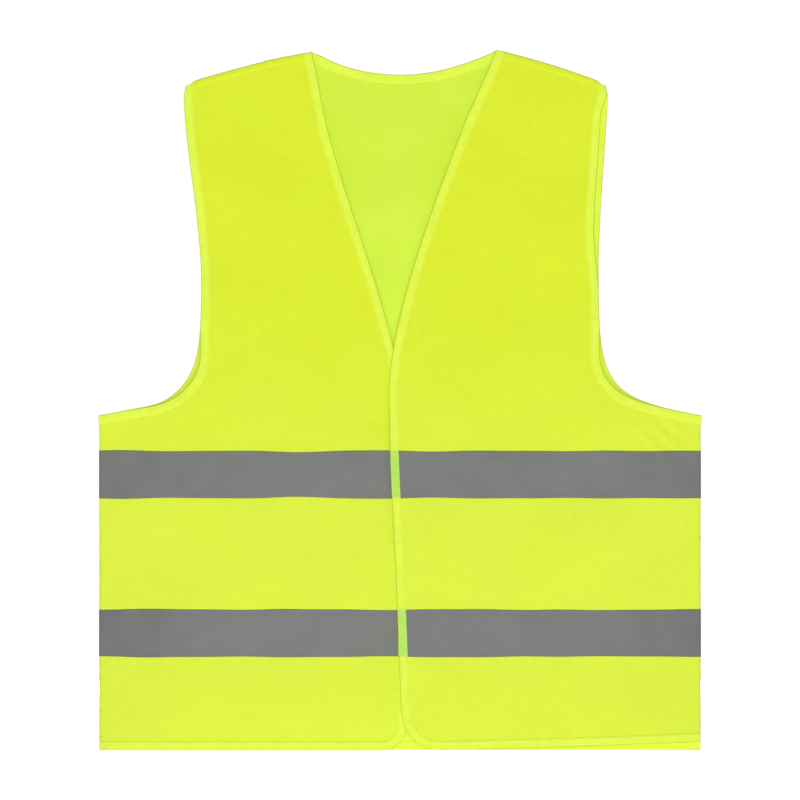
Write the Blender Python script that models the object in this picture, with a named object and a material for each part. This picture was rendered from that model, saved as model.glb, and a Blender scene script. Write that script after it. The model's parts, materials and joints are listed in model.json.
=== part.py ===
"""A sleeveless high visibility vest, standing upright: metres, +Z up, the front faces -Y.

Each piece is drawn flat, as pattern cutting does: the front layers lie at y < 0 and the back
layers at y > 0, a millimetre apart. drape() then scores the piece along a common grid and
moves it out in y, so that stacked layers stay parallel and never touch.
"""

import math

import bmesh
import bpy
from mathutils import Vector

MM = 0.001

# Driving dimensions, for the wearer's left half. The right half mirrors them.
HALF_WIDTH = 320 * MM
FABRIC_SIDE = HALF_WIDTH - 1.4 * MM
HEM_Z = 0.7 * MM
UNDERARM_Z = 354 * MM
APEX = (98 * MM, 741 * MM)  # the neck end of the shoulder seam
SHOULDER_TIP = (224 * MM, 705 * MM)
BACK_NECK_DROP = 26 * MM
ARMHOLE_WAIST = (210 * MM, 480 * MM)  # where the armhole is narrowest

# How far each front passes the middle: its front edge runs straight between these two points.
LEFT_EDGE = ((-10.6 * MM, 385 * MM), (1.8 * MM, 45 * MM))
RIGHT_EDGE = ((-6 * MM, 368 * MM), (-6.5 * MM, 30 * MM))
LEFT_CORNER = 38 * MM
RIGHT_CORNER = 24 * MM

TAPE_WIDTH = 50 * MM
TAPE_BOTTOMS = {"upper": 267 * MM, "lower": 99 * MM}

# Layers, as distances out from the plane where front and back would meet.
GAP = 0.3 * MM
WALL = 0.4 * MM
FABRIC_IN = 1.0 * MM
FABRIC_OUT = FABRIC_IN + WALL
TAPE_IN = FABRIC_OUT + GAP
TAPE_OUT = TAPE_IN + 0.3 * MM
BINDING_OUT = TAPE_OUT + GAP + WALL
BINDING_IN = FABRIC_IN - GAP - WALL
BINDING_WIDTH = 9 * MM
BINDING_TURN_SHARE = 0.5  # a binding is pressed flat where it turns from the front to the back

PATCH_WALL = 0.6 * MM
PATCH_WIDTH = 10 * MM
PATCH_HEIGHT = 40 * MM
PATCH_INSET = 1 * MM
PATCH_BOTTOMS = {"upper": 323 * MM, "lower": 217 * MM}

SEAM_COVER = 6 * MM
SIDE_SEAM_WIDTH = 11 * MM
SIDE_SEAM_HALF = 0.6 * MM
LABEL_SIZE = (38 * MM, 50 * MM)
LABEL_BOTTOM = 190 * MM
LABEL_HALF = 0.15 * MM

# The vest hangs open by this much: forward travel per metre below the shoulder line.
BULGE_SLOPE = 0.034
SHOULDER_SLOPE = (APEX[1] - SHOULDER_TIP[1]) / (SHOULDER_TIP[0] - APEX[0])

# Each front folds outwards along a straight line from the apex to the hem, on a hinge axis that
# stands this far in front of the outermost layer.
AXIS_CLEARANCE = 1.2 * MM
FOLD_HEM_X = 220 * MM
FOLD_SLOPE = (FOLD_HEM_X - APEX[0]) / APEX[1]
FOLD_GAP = 0.6 * MM
LAP_SLOPE = 0.033  # the left front stands this much further forward per metre from its fold

GRID_X = HALF_WIDTH / 16
GRID_Z = 50 * MM
CURVE_STEPS = 14
TURN_STEPS = 6
WELD = 0.005 * MM
SHARP_ANGLE = math.radians(35)  # edges that turn less than this are shaded smooth

FRONT, BACK = -1, 1
LEFT, RIGHT = 1, -1
INBOARD, OUTBOARD = -1, 1


# ---- curves in the flat pattern, as lists of (x, z) ----


def bezier(start, pull_a, pull_b, end, steps=CURVE_STEPS):
    points = []
    for i in range(steps + 1):
        t = i / steps
        weights = ((1 - t) ** 3, 3 * (1 - t) ** 2 * t, 3 * (1 - t) * t * t, t**3)
        corners = (start, pull_a, pull_b, end)
        points.append(tuple(sum(w * c[k] for w, c in zip(weights, corners)) for k in (0, 1)))
    return points


def corner_arc(edge_end, radius, steps=8):
    """A quarter of an ellipse from the foot of a front edge round onto the hem."""
    drop = edge_end[1] - HEM_Z
    points = []
    for i in range(1, steps + 1):
        angle = math.pi / 2 * i / steps
        points.append(
            (edge_end[0] + radius * (1 - math.cos(angle)), edge_end[1] - drop * math.sin(angle))
        )
    return points


def front_edge(side):
    """The free edge of a front: down the V from the apex, down the front, round the corner."""
    if side == LEFT:
        edge, corner = LEFT_EDGE, LEFT_CORNER
        neck_pull, chest_pull = (64 * MM, 646 * MM), (-6.5 * MM, 487 * MM)
    else:
        edge, corner = RIGHT_EDGE, RIGHT_CORNER
        neck_pull, chest_pull = (58 * MM, 560 * MM), (28 * MM, 530 * MM)
    return bezier(APEX, neck_pull, chest_pull, edge[0], 20) + [edge[1]] + corner_arc(edge[1], corner)


def armhole():
    """The armhole from the underarm up to the shoulder tip."""
    lower = bezier(
        (FABRIC_SIDE, UNDERARM_Z), (225 * MM, 371 * MM), (211 * MM, 384 * MM), ARMHOLE_WAIST
    )
    upper = bezier(ARMHOLE_WAIST, (208 * MM, 560 * MM), (224 * MM, 640 * MM), SHOULDER_TIP, 8)
    return lower + upper[1:]


def back_neck():
    """The back neck from the left apex round to the right one."""
    half = APEX[0]
    radius = (half**2 + BACK_NECK_DROP**2) / (2 * BACK_NECK_DROP)
    reach = math.asin(half / radius)
    points = []
    for i in range(17):
        angle = reach * (1 - i / 8)
        points.append(
            (radius * math.sin(angle), APEX[1] - BACK_NECK_DROP + radius * (1 - math.cos(angle)))
        )
    return points


def down_shoulder(side):
    """The way the shoulder seam runs, from the neck outwards."""
    return Vector((side, 0, -SHOULDER_SLOPE))


def mirrored(points):
    return [(-x, z) for x, z in points]


def fold_x(z):
    return APEX[0] + FOLD_SLOPE * (APEX[1] - z)


def front_edge_x(side, z):
    """Where the straight part of a front edge stands at height z, in its own half's x."""
    (x0, z0), (x1, z1) = LEFT_EDGE if side == LEFT else RIGHT_EDGE
    return x0 + (x1 - x0) * (z - z0) / (z1 - z0)


# ---- drape: how far each layer stands out from the middle plane ----


def plane_bulge(x, z):
    """The flat plane that a front lies in, for its own half's x."""
    return BULGE_SLOPE * (APEX[1] + SHOULDER_SLOPE * (APEX[0] - x) - z)


def form(x, z):
    """Plane as far as the fold line, then a curve that closes to nothing at the side seam."""
    x = abs(x)
    fold = fold_x(z)
    across = min(max((x - fold) / (HALF_WIDTH - fold), 0), 1)
    return plane_bulge(x, z) * (1 - across**2)


def body_bulge(x, z):
    """form() read off the flat facets of the scoring grid."""
    column, row = math.floor(x / GRID_X), math.floor(z / GRID_Z)
    p, q = x / GRID_X - column, z / GRID_Z - row
    right = form((column + 1) * GRID_X, row * GRID_Z)
    top = form(column * GRID_X, (row + 1) * GRID_Z)
    if p + q <= 1:
        base = form(column * GRID_X, row * GRID_Z)
        return base + p * (right - base) + q * (top - base)
    base = form((column + 1) * GRID_X, (row + 1) * GRID_Z)
    return base + (1 - p) * (top - base) + (1 - q) * (right - base)


def flap_bulge(side):
    """The bulge of a moving front: a plane, and the left one laps over the right one."""
    lap = LAP_SLOPE if side == LEFT else 0
    return lambda x, z: plane_bulge(side * x, z) + lap * (fold_x(z) - side * x)


def score(bm):
    """Cut every face along the grid lines and the diagonals between them."""
    xs = [v.co.x / GRID_X for v in bm.verts]
    zs = [v.co.z / GRID_Z for v in bm.verts]
    diagonals = [x + z for x, z in zip(xs, zs)]
    cuts = [(n * GRID_X, 0, Vector((1, 0, 0))) for n in whole_numbers(xs)]
    cuts += [(0, n * GRID_Z, Vector((0, 0, 1))) for n in whole_numbers(zs)]
    slant = Vector((1 / GRID_X, 0, 1 / GRID_Z))
    cuts += [(n * GRID_X, 0, slant.normalized()) for n in whole_numbers(diagonals)]
    for x, z, normal in cuts:
        everything = bm.verts[:] + bm.edges[:] + bm.faces[:]
        bmesh.ops.bisect_plane(
            bm, geom=everything, dist=WELD, plane_co=(x, 0, z), plane_no=normal
        )


def whole_numbers(values):
    return range(math.ceil(min(values)), math.floor(max(values)) + 1)


def drape(bm, bulge):
    """Move each point out by the bulge, forwards in front of the middle plane and back behind it."""
    for vert in bm.verts:
        out = bulge(vert.co.x, vert.co.z)
        if vert.co.y < -WELD:
            vert.co.y -= out
        elif vert.co.y > WELD:
            vert.co.y += out


def lean(bm, bulge):
    """Move a whole front piece forwards by the bulge, whichever side of the plane it's on."""
    for vert in bm.verts:
        vert.co.y -= bulge(vert.co.x, vert.co.z)


# ---- solids ----


def sheet(outline, layer, near, far):
    """A flat sheet of fabric between two distances from the middle plane."""
    bm = bmesh.new()
    face = bm.faces.new([bm.verts.new((x, layer * near, z)) for x, z in outline])
    grown = bmesh.ops.extrude_face_region(bm, geom=[face])["geom"]
    moved = [item for item in grown if isinstance(item, bmesh.types.BMVert)]
    bmesh.ops.translate(bm, verts=moved, vec=(0, layer * (far - near), 0))
    return bm


def stations(points, layer, inside, first=None, last=None):
    """Points along an edge, each with the direction into the fabric.

    inside is 1 where the fabric is on the left of the way the points run, seen from the front.
    first and last set the direction at an end that meets a seam at a slant.
    """
    found = []
    for i, (x, z) in enumerate(points):
        before, after = points[max(i - 1, 0)], points[min(i + 1, len(points) - 1)]
        along = Vector((after[0] - before[0], 0, after[1] - before[1])).normalized()
        inward = inside * Vector((-along.z, 0, along.x))
        if i == 0 and first:
            inward = first
        if i == len(points) - 1 and last:
            inward = last
        found.append((Vector((x, 0, z)), inward, Vector((0, layer, 0))))
    return found


def turn(last, first, way):
    """Stations that carry a binding over an edge from one layer to the other, heading way."""
    found = []
    for i in range(1, TURN_STEPS):
        share = i / TURN_STEPS
        angle = math.pi * share
        inward = last[1].lerp(first[1], share)
        outward = last[2] * math.cos(angle) + way * math.sin(angle) * BINDING_TURN_SHARE
        found.append((last[0].lerp(first[0], share), inward, outward))
    return found


def ribbon(path, profile, closed=False):
    """Sweep a profile of (into the fabric, away from the middle plane) along the stations."""
    bm = bmesh.new()
    rings = [
        [bm.verts.new(point + inward * across + outward * level) for across, level in profile]
        for point, inward, outward in path
    ]
    joins = list(zip(rings, rings[1:]))
    if closed:
        joins.append((rings[-1], rings[0]))
    for ring, following in joins:
        for i in range(len(profile)):
            j = (i + 1) % len(profile)
            bm.faces.new((ring[i], ring[j], following[j], following[i]))
    if not closed:
        bm.faces.new(rings[0])
        bm.faces.new(reversed(rings[-1]))
    return bm


def binding_profile():
    """A folded tape round a fabric edge: two legs joined outside the edge."""
    outer = -(GAP + WALL)
    leg = BINDING_WIDTH + outer
    return [
        (outer, BINDING_IN),
        (leg, BINDING_IN),
        (leg, BINDING_IN + WALL),
        (-GAP, BINDING_IN + WALL),
        (-GAP, BINDING_OUT - WALL),
        (leg, BINDING_OUT - WALL),
        (leg, BINDING_OUT),
        (outer, BINDING_OUT),
    ]


def stepped_profile(face, over_binding, on_fabric):
    """A patch whose first part lies over the binding and whose rest is pressed to the fabric."""
    step = BINDING_WIDTH
    far = PATCH_INSET + PATCH_WIDTH
    return [
        (PATCH_INSET, over_binding),
        (step, over_binding),
        (step, on_fabric),
        (far, on_fabric),
        (far, face),
        (PATCH_INSET, face),
    ]


def trim(bm, side, keep):
    """Keep the part of a front piece inboard or outboard of its fold line."""
    normal = Vector((side, 0, side * FOLD_SLOPE * side)).normalized()
    reach = keep * FOLD_GAP / 2
    point = Vector((side * (fold_x(0) + reach), 0, 0))
    cut = bmesh.ops.bisect_plane(
        bm,
        geom=bm.verts[:] + bm.edges[:] + bm.faces[:],
        dist=WELD,
        plane_co=point,
        plane_no=normal,
        clear_outer=keep == INBOARD,
        clear_inner=keep == OUTBOARD,
    )
    rim = [item for item in cut["geom_cut"] if isinstance(item, bmesh.types.BMEdge)]
    bmesh.ops.edgenet_fill(bm, edges=rim)


def add(name, bm, material, hinge=None):
    """Hand the finished solid over to Blender as an object, hung on its hinge if it has one."""
    bmesh.ops.remove_doubles(bm, verts=bm.verts[:], dist=WELD)
    bmesh.ops.dissolve_degenerate(bm, edges=bm.edges[:], dist=WELD)
    bmesh.ops.triangulate(bm, faces=bm.faces[:])
    bmesh.ops.recalc_face_normals(bm, faces=bm.faces[:])
    mesh = bpy.data.meshes.new(name)
    bm.to_mesh(mesh)
    bm.free()
    mesh.shade_smooth()
    mesh.set_sharp_from_angle(angle=SHARP_ANGLE)
    mesh.materials.append(material)
    piece = bpy.data.objects.new(name, mesh)
    bpy.context.scene.collection.objects.link(piece)
    if hinge:
        piece.parent = hinge
        piece.matrix_parent_inverse = hinge.matrix_world.inverted()


def material(name, colour, roughness, metallic=0.0):
    made = bpy.data.materials.new(name)
    made.use_nodes = True
    shader = made.node_tree.nodes["Principled BSDF"]
    shader.inputs["Base Color"].default_value = (*colour, 1)
    shader.inputs["Roughness"].default_value = roughness
    shader.inputs["Metallic"].default_value = metallic
    return made


# ---- pieces ----


def front_outline(side):
    """A whole front, both sides of its fold line, for the wearer's left half."""
    return front_edge(side) + [(FABRIC_SIDE, HEM_Z)] + armhole()


def back_outline():
    half = back_neck()[:9]
    left = [(FABRIC_SIDE, HEM_Z)] + armhole() + half
    return left + mirrored(left[-2::-1])


def to_side(side, points):
    return points if side == LEFT else mirrored(points)


def front_sheet(side, outline, near, far, keep):
    """The part of a front layer inboard or outboard of the fold line, draped."""
    bm = sheet(to_side(side, outline), FRONT, near, far)
    trim(bm, side, keep)
    if keep == INBOARD:
        lean(bm, flap_bulge(side))
    else:
        score(bm)
        drape(bm, body_bulge)
    return bm


def tape_outline(side, bottom):
    """A front tape from inside the front edge's binding to the side seam."""
    top = bottom + TAPE_WIDTH
    return [
        (front_edge_x(side, bottom) + GAP, bottom),
        (FABRIC_SIDE - GAP, bottom),
        (FABRIC_SIDE - GAP, top),
        (front_edge_x(side, top) + GAP, top),
    ]


def hinge_point(side, z):
    """Where a front's hinge axis passes height z."""
    out = BINDING_OUT + AXIS_CLEARANCE + plane_bulge(fold_x(z), z)
    return Vector((side * fold_x(z), FRONT * out, z))


def make_hinge(side, label):
    """An empty halfway up a front's hinge axis, with its Z along the axis."""
    top, bottom = hinge_point(side, APEX[1]), hinge_point(side, 0)
    hinge = bpy.data.objects.new(f"{label}_front_hinge", None)
    bpy.context.scene.collection.objects.link(hinge)
    hinge.rotation_mode = "QUATERNION"
    hinge.rotation_quaternion = (top - bottom).to_track_quat("Z", "Y")
    hinge.location = (top + bottom) / 2
    bpy.context.view_layer.update()
    return hinge


def make_front(side, label, paints, hinge):
    """One front: its fixed side part and the flap that opens, each with its share of the tapes."""
    outline = front_outline(side)
    for keep, part, parent in ((INBOARD, "front", hinge), (OUTBOARD, "side", None)):
        panel = front_sheet(side, outline, FABRIC_IN, FABRIC_OUT, keep)
        add(f"{label}_{part}_panel", panel, paints["fabric"], parent)
        for height, bottom in TAPE_BOTTOMS.items():
            tape = front_sheet(side, tape_outline(side, bottom), TAPE_IN, TAPE_OUT, keep)
            add(f"{height}_tape_{label}_{part}", tape, paints["tape"], parent)
    make_front_binding(side, label, paints["binding"], hinge)


def make_front_binding(side, label, paint, hinge):
    """The binding down the V, down the front edge and round onto the hem, as far as the fold."""
    edge = front_edge(side)
    hem_end = (fold_x(HEM_Z) + BINDING_WIDTH, HEM_Z)
    hem = [(edge[-1][0] + (hem_end[0] - edge[-1][0]) * i / 3, HEM_Z) for i in (1, 2, 3)]
    path = stations(to_side(side, edge + hem), FRONT, side, first=down_shoulder(side))
    bm = ribbon(path, binding_profile())
    trim(bm, side, INBOARD)
    lean(bm, flap_bulge(side))
    add(f"{label}_front_binding", bm, paint, hinge)


def make_back(paints):
    panel = sheet(back_outline(), BACK, FABRIC_IN, FABRIC_OUT)
    score(panel)
    drape(panel, body_bulge)
    add("back_panel", panel, paints["fabric"])
    for height, bottom in TAPE_BOTTOMS.items():
        reach = FABRIC_SIDE - GAP
        top = bottom + TAPE_WIDTH
        outline = [(-reach, bottom), (reach, bottom), (reach, top), (-reach, top)]
        tape = sheet(outline, BACK, TAPE_IN, TAPE_OUT)
        score(tape)
        drape(tape, body_bulge)
        add(f"{height}_tape_back", tape, paints["tape"])
    ends = {"first": down_shoulder(LEFT), "last": down_shoulder(RIGHT)}
    neck = ribbon(stations(back_neck(), BACK, 1, **ends), binding_profile())
    score(neck)
    drape(neck, body_bulge)
    add("back_neck_binding", neck, paints["binding"])


def make_armhole_binding(side, label, paint):
    """One closed loop: up the front of the armhole, over the shoulder and down the back."""
    rise = to_side(side, armhole())
    down = Vector((0, 0, -1))
    up_shoulder = -down_shoulder(side)
    front = stations(rise, FRONT, side, first=down, last=up_shoulder)
    back = stations(rise[::-1], BACK, -side, first=up_shoulder, last=down)
    over_shoulder = turn(front[-1], back[0], Vector((side * SHOULDER_SLOPE, 0, 1)).normalized())
    round_side = turn(back[-1], front[0], Vector((side, 0, 0)))
    bm = ribbon(front + over_shoulder + back + round_side, binding_profile(), closed=True)
    score(bm)
    drape(bm, body_bulge)
    add(f"{label}_armhole_binding", bm, paint)


def make_hem_binding(paint):
    """The hem's binding from one fold line round the back to the other."""
    fold = fold_x(HEM_Z) + FOLD_GAP / 2
    run = [(fold, HEM_Z), (FABRIC_SIDE, HEM_Z)]
    left = stations(run, FRONT, 1, first=Vector((-FOLD_SLOPE, 0, 1)))
    back = stations([run[1], mirrored(run)[1]], BACK, -1)
    right = stations(mirrored(run)[::-1], FRONT, 1, last=Vector((FOLD_SLOPE, 0, 1)))
    turns = (
        turn(left[-1], back[0], Vector((1, 0, 0))),
        turn(back[-1], right[0], Vector((-1, 0, 0))),
    )
    bm = ribbon(left + turns[0] + back + turns[1] + right, binding_profile())
    score(bm)
    drape(bm, body_bulge)
    add("hem_binding", bm, paint)


def make_seams(side, label, paints):
    """The strip that covers the shoulder seam, and the side seam's allowance inside."""
    down = Vector((-side * SHOULDER_SLOPE, 0, -1)).normalized()
    outer = -(GAP + WALL)
    profile = [
        (outer, -TAPE_OUT),
        (SEAM_COVER, -TAPE_OUT),
        (SEAM_COVER, -TAPE_IN),
        (-GAP, -TAPE_IN),
        (-GAP, TAPE_IN),
        (SEAM_COVER, TAPE_IN),
        (SEAM_COVER, TAPE_OUT),
        (outer, TAPE_OUT),
    ]
    path = []
    for x in (APEX[0] + BINDING_WIDTH, SHOULDER_TIP[0] - BINDING_WIDTH):
        top = Vector((side * x, 0, APEX[1] - SHOULDER_SLOPE * (x - APEX[0])))
        path.append((top, down, Vector((0, BACK, 0))))
    bm = ribbon(path, profile)
    score(bm)
    drape(bm, body_bulge)
    add(f"{label}_shoulder_seam", bm, paints["binding"])

    far = side * (FABRIC_SIDE - GAP)
    near = side * (FABRIC_SIDE - SIDE_SEAM_WIDTH)
    bottom, top = HEM_Z + BINDING_WIDTH, UNDERARM_Z - BINDING_WIDTH
    outline = [(near, bottom), (far, bottom), (far, top), (near, top)]
    bm = sheet(outline, BACK, -SIDE_SEAM_HALF, SIDE_SEAM_HALF)
    add(f"{label}_side_seam", bm, paints["fabric"])


def make_patches(side, kind, paint, hinge):
    """Hook patches inside the left front meet loop patches on the outside of the right one."""
    if kind == "loop":
        face = BINDING_OUT + GAP + PATCH_WALL
        profile = stepped_profile(face, BINDING_OUT + GAP, FABRIC_OUT + GAP)
    else:
        face = BINDING_IN - GAP - PATCH_WALL
        profile = stepped_profile(face, BINDING_IN - GAP, FABRIC_IN - GAP)
    for height, bottom in PATCH_BOTTOMS.items():
        levels = (bottom + PATCH_HEIGHT, bottom)
        edge = [(front_edge_x(side, z), z) for z in levels]
        bm = ribbon(stations(to_side(side, edge), FRONT, side), profile)
        lean(bm, flap_bulge(side))
        add(f"{height}_{kind}_patch", bm, paint, hinge)


def make_label(paint):
    """A blank care label, caught in the left side seam and hanging inside."""
    far = FABRIC_SIDE - SIDE_SEAM_WIDTH - GAP
    near = far - LABEL_SIZE[0]
    top = LABEL_BOTTOM + LABEL_SIZE[1]
    outline = [(near, LABEL_BOTTOM), (far, LABEL_BOTTOM), (far, top), (near, top)]
    add("care_label", sheet(outline, BACK, -LABEL_HALF, LABEL_HALF), paint)


def centre_depth():
    """Put the origin midway between the foremost and the rearmost point."""
    bpy.context.view_layer.update()
    pieces = [item for item in bpy.data.objects if item.type == "MESH"]
    depths = [(piece.matrix_world @ vert.co).y for piece in pieces for vert in piece.data.vertices]
    middle = (min(depths) + max(depths)) / 2
    for item in bpy.data.objects:
        if item.parent is None:
            item.location.y -= middle


def main():
    for old in list(bpy.data.objects):
        bpy.data.objects.remove(old)
    paints = {
        "fabric": material("hi_vis_fabric", (0.74, 0.88, 0.05), 0.85),
        "binding": material("binding", (0.72, 0.94, 0.09), 0.7),
        "tape": material("reflective_tape", (0.21, 0.22, 0.21), 0.45, 0.3),
        "hook": material("hook", (0.66, 0.8, 0.06), 0.6),
        "loop": material("loop", (0.7, 0.84, 0.07), 0.95),
        "label": material("label", (0.85, 0.85, 0.83), 0.7),
    }
    make_back(paints)
    make_hem_binding(paints["binding"])
    for side, label, kind in ((LEFT, "left", "hook"), (RIGHT, "right", "loop")):
        hinge = make_hinge(side, label)
        make_front(side, label, paints, hinge)
        make_patches(side, kind, paints[kind], hinge)
        make_armhole_binding(side, label, paints["binding"])
        make_seams(side, label, paints)
    make_label(paints["label"])
    centre_depth()


main()
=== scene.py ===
import json
import math

import bmesh
import bpy
import numpy as np
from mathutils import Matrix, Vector
from mathutils.geometry import delaunay_2d_cdt


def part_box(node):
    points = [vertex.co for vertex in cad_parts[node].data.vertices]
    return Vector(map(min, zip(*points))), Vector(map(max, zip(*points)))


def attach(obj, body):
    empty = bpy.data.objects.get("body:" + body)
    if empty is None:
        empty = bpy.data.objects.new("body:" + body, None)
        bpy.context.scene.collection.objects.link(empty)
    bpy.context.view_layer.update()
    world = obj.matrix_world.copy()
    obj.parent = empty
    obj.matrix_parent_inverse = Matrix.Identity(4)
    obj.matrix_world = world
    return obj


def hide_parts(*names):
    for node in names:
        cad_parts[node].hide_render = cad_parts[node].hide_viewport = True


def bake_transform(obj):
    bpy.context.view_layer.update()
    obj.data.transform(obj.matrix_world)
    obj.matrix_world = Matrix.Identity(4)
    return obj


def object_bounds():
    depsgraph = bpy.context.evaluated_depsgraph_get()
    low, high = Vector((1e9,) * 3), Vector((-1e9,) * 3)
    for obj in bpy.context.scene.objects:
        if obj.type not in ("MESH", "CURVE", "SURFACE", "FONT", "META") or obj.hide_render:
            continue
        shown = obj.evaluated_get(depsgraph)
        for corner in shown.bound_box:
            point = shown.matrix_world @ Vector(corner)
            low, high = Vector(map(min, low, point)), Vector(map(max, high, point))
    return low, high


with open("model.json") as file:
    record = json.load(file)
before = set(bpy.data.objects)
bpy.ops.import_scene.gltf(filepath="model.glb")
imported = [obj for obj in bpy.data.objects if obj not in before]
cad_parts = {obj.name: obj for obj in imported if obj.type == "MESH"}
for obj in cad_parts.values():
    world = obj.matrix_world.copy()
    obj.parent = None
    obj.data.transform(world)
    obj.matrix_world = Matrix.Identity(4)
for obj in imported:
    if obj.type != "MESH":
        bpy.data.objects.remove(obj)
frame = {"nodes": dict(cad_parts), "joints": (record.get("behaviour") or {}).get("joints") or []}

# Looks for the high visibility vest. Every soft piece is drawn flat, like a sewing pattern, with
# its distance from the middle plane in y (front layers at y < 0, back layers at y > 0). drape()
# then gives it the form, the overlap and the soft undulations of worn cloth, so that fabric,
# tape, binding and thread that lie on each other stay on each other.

MM = 0.001
LEFT, RIGHT = 1, -1
FRONT, BACK = -1, 1
LABELS = {LEFT: "left", RIGHT: "right"}
CAD_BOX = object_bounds()

# ---- sizes read off the frame ----


def corner(node, x, z):
    """The (x, z) of the CAD point of a node that lies furthest in the direction (x, z)."""
    points = [vert.co for vert in frame["nodes"][node].data.vertices]
    best = max(points, key=lambda p: p.x * x + p.z * z)
    return np.array((best.x, best.z))


def joint(name):
    return next(item for item in frame["joints"] if item["name"] == name)


def heights(node):
    low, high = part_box(node)
    return low.z, high.z


APEX = corner("back_panel", 0.1, 1)  # the neck end of the shoulder seam
SHOULDER_TIP = corner("back_panel", 1, 1)
UNDERARM = corner("back_panel", 1, 0.1)
SIDE, HEM = corner("back_panel", 1, -1)
EDGE_TOP = {
    LEFT: corner("left_front_panel", -1, 0.05),
    RIGHT: corner("right_front_panel", 1, 0.05) * (-1, 1),
}
EDGE_FOOT = {
    LEFT: corner("left_front_panel", -1, -0.05),
    RIGHT: corner("right_front_panel", 1, -0.05) * (-1, 1),
}
TAPES = {"upper": heights("upper_tape_back"), "lower": heights("lower_tape_back")}
MIDDLE = (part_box("left_side_seam")[0].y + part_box("left_side_seam")[1].y) / 2
SHOULDER_SLOPE = (APEX[1] - SHOULDER_TIP[1]) / (SHOULDER_TIP[0] - APEX[0])

# The fold that each front opens along, from its hinge axis.
HINGE = Vector(joint("left_front_open")["pos_m"])
HINGE_AXIS = Vector(joint("left_front_open")["axis"])
FOLD_SLOPE = -HINGE_AXIS.x / HINGE_AXIS.z
BULGE_SLOPE = HINGE_AXIS.y / HINGE_AXIS.z / (1 - SHOULDER_SLOPE * FOLD_SLOPE)
BLEND_FROM = -1 * MM  # the cloth bends between these two distances inboard of the fold
BLEND_TO = 9 * MM

# ---- sizes of the cloth ----

FABRIC_LEVEL = 1.2 * MM  # from the middle plane to the middle of the fabric's thickness
FABRIC_THICK = 0.35 * MM
TAPE_THICK = 0.22 * MM
TAPE_LEVEL = FABRIC_LEVEL + FABRIC_THICK / 2 + TAPE_THICK / 2 + 0.08 * MM
BINDING_LEG = 8.3 * MM
BINDING_WALL = 0.38 * MM
BINDING_INNER = 0.24 * MM  # from the middle of the fabric to the near face of a leg
BINDING_LIFT = 0.32 * MM  # a binding rises by this much to pass over a tape
BINDING_EDGE = 0.9 * MM  # the depth of its rounded edge
BINDING_ROWS = (2.3 * MM, 6.9 * MM)  # its rows of stitches, from the edge of the fabric
ROW_DIP = 0.07 * MM  # how far a row of stitches pulls the binding in
TAPE_ROW = 4 * MM  # a row of stitches, from the edge of the tape
STITCH_PITCH = 3 * MM
STITCH_LENGTH = 2.3 * MM
THREAD = 0.17 * MM

BACK_NECK_DROP = 26 * MM
NECK_STEPS = 40  # an even number, so that a point lies in the middle
WAIST = np.array((210 * MM, 480 * MM))  # where the armhole is narrowest
BELOW_WAIST = ((225 * MM, 371 * MM), (211 * MM, 384 * MM))  # pulls of the armhole's curve
ABOVE_WAIST = ((208 * MM, 560 * MM), (224 * MM, 640 * MM))
INSET = 6.5 * MM  # how much further in than the back's a front's armhole lies, where it does
INSET_HEIGHTS = {  # the inset begins, is full, lasts until and ends
    "low": (356 * MM, 378 * MM, 395 * MM, 455 * MM),
    "high": (480 * MM, 560 * MM, 670 * MM, 705 * MM),
}
NECK_PULLS = {
    LEFT: ((64 * MM, 646 * MM), (-6.5 * MM, 487 * MM)),
    RIGHT: ((58 * MM, 560 * MM), (28 * MM, 530 * MM)),
}
CORNER_WIDTH = {LEFT: 38 * MM, RIGHT: 24 * MM}
CORNER_POINTS = 13
HEM_RISE = {LEFT: 9 * MM, RIGHT: 0}  # how much higher a front's hem ends at the side seam
HEM_CURVE = 1.4
SHEET_STEP = 4 * MM  # between the points of a panel
EDGE_STEP = 0.75 * SHEET_STEP
RING_STEP = 2.5 * MM  # between the sections of a binding


# ---- curves in the flat pattern: arrays of (x, z) for the wearer's left half ----


def bezier(start, pull_a, pull_b, end, steps=40):
    t = np.linspace(0, 1, steps + 1)[:, None]
    corners = [np.array(c) for c in (start, pull_a, pull_b, end)]
    weights = ((1 - t) ** 3, 3 * (1 - t) ** 2 * t, 3 * (1 - t) * t * t, t**3)
    return sum(w * c for w, c in zip(weights, corners))


def stacked(*axes):
    """Points from their coordinates, of which a single number serves for all the points."""
    return np.stack(np.broadcast_arrays(*axes), axis=-1)


def joined(*runs):
    """Runs that share their end points, as one."""
    return np.concatenate([runs[0]] + [run[1:] for run in runs[1:]])


def distance_along(points):
    """How far along a line each of its points lies."""
    steps = np.linalg.norm(np.diff(points, axis=0), axis=1)
    return np.concatenate(([0], np.cumsum(steps)))


def evenly(points, step):
    """The same line with points a step apart."""
    travelled = distance_along(points)
    count = max(int(round(travelled[-1] / step)), 1)
    wanted = np.linspace(0, travelled[-1], count + 1)
    return np.column_stack([np.interp(wanted, travelled, axis) for axis in points.T])


def round_trip(outline, step):
    """A closed outline with points at most a step apart, its own corners kept."""
    dense = []
    for start, end in zip(outline, np.roll(outline, -1, axis=0)):
        count = max(math.ceil(np.linalg.norm(end - start) / step), 1)
        dense.append(start + (end - start) * np.arange(count)[:, None] / count)
    return np.concatenate(dense)


def smooth(value, low, high):
    """0 below low, 1 above high, and a smooth ramp between them."""
    share = np.clip((value - low) / (high - low), 0, 1)
    return share * share * (3 - 2 * share)


def plateau(value, start, full, until, end):
    """1 from full until, 0 outside start and end, and smooth ramps between them."""
    return smooth(value, start, full) * (1 - smooth(value, until, end))


def fold_x(z):
    """Where the fold lies at height z."""
    return HINGE.x + FOLD_SLOPE * (HINGE.z - z)


def hem_z(side, x):
    """How high the hem of a front lies."""
    return HEM + HEM_RISE[side] * np.clip(x / SIDE, 0, 1) ** HEM_CURVE


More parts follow.
